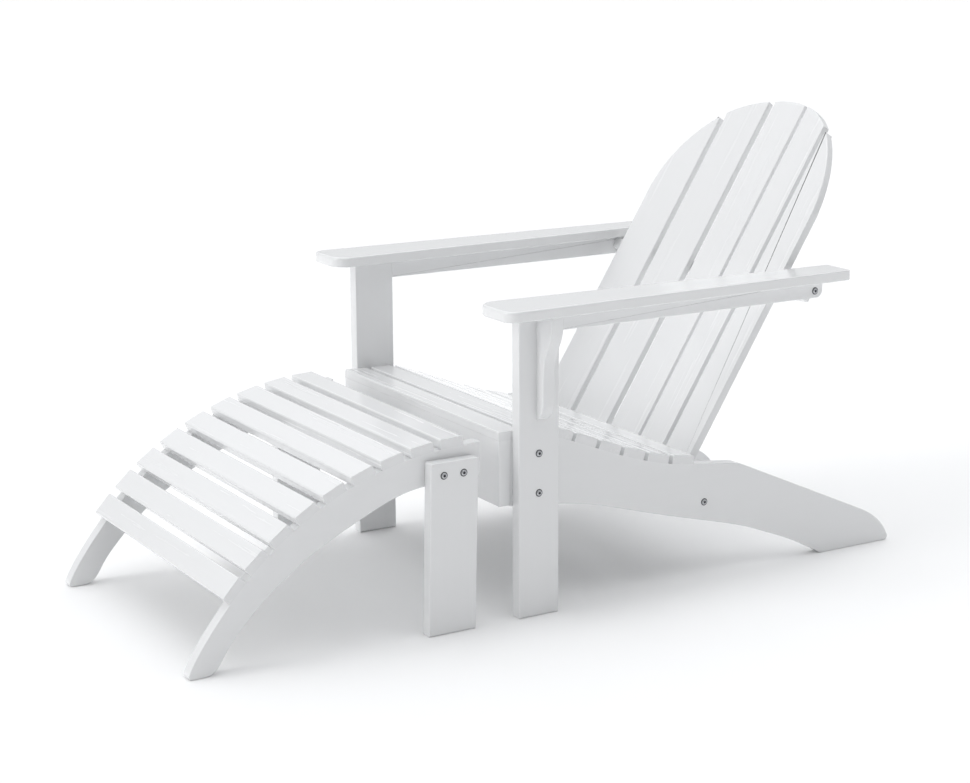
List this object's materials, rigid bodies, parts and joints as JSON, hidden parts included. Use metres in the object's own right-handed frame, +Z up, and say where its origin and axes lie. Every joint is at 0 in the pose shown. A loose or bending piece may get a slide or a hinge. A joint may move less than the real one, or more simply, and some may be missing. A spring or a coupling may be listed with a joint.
{
  "type": "adirondack chair with footrest",
  "caption": "Low reclined garden chair with a round-topped slatted back, sloping slatted seat and broad flat arms, and a matching arched slatted footrest standing in front of it.",
  "frame": {"origin": "centre of the bounding box of chair and footrest together, on the floor", "axes": "+Z up, the sitter faces -Y with the footrest in front, +X is the sitter's left"},
  "size_m": [0.7708, 1.538, 0.8679],
  "materials": {
    "frame_paint": "white satin paint on wood",
    "slat_paint": "white semi-gloss paint on wood",
    "back_paint": "white semi-gloss paint on wood",
    "bolt_steel": "zinc plated, lightly worn"
  },
  "bodies": {
    "chair": {"front_leg_left": "frame_paint", "side_stringer_left": "frame_paint", "arm_rail_left": "frame_paint", "arm_left": "slat_paint", "arm_bracket_left": "frame_paint", "leg_bolt_left_1": "bolt_steel", "leg_bolt_left_2": "bolt_steel", "stringer_bolt_left": "bolt_steel", "rail_bolt_left": "bolt_steel", "front_leg_right": "frame_paint", "side_stringer_right": "frame_paint", "arm_rail_right": "frame_paint", "arm_right": "slat_paint", "arm_bracket_right": "frame_paint", "leg_bolt_right_1": "bolt_steel", "leg_bolt_right_2": "bolt_steel", "stringer_bolt_right": "bolt_steel", "rail_bolt_right": "bolt_steel", "front_apron": "frame_paint", "seat_slat_1": "slat_paint", "seat_slat_2": "slat_paint", "seat_slat_3": "slat_paint", "seat_slat_4": "slat_paint", "seat_slat_5": "slat_paint", "seat_slat_6": "slat_paint", "seat_slat_7": "slat_paint", "seat_slat_8": "slat_paint", "back_slat_1": "back_paint", "back_slat_2": "back_paint", "back_slat_3": "back_paint", "back_slat_4": "back_paint", "back_slat_5": "back_paint", "back_brace_lower": "frame_paint", "back_brace_upper": "frame_paint"},
    "footrest": {"footrest_rail_left": "frame_paint", "footrest_leg_left": "frame_paint", "footrest_bolt_left_1": "bolt_steel", "footrest_bolt_left_2": "bolt_steel", "footrest_rail_right": "frame_paint", "footrest_leg_right": "frame_paint", "footrest_bolt_right_1": "bolt_steel", "footrest_bolt_right_2": "bolt_steel", "footrest_slat_1": "slat_paint", "footrest_slat_2": "slat_paint", "footrest_slat_3": "slat_paint", "footrest_slat_4": "slat_paint", "footrest_slat_5": "slat_paint", "footrest_slat_6": "slat_paint", "footrest_slat_7": "slat_paint", "footrest_slat_8": "slat_paint", "footrest_slat_9": "slat_paint"}
  },
  "joints": [
    {"name": "footrest_pull", "type": "slide", "parent": "chair", "child": "footrest", "axis": [0, -1, 0], "range_m": [0, 0.6]}
  ]
}
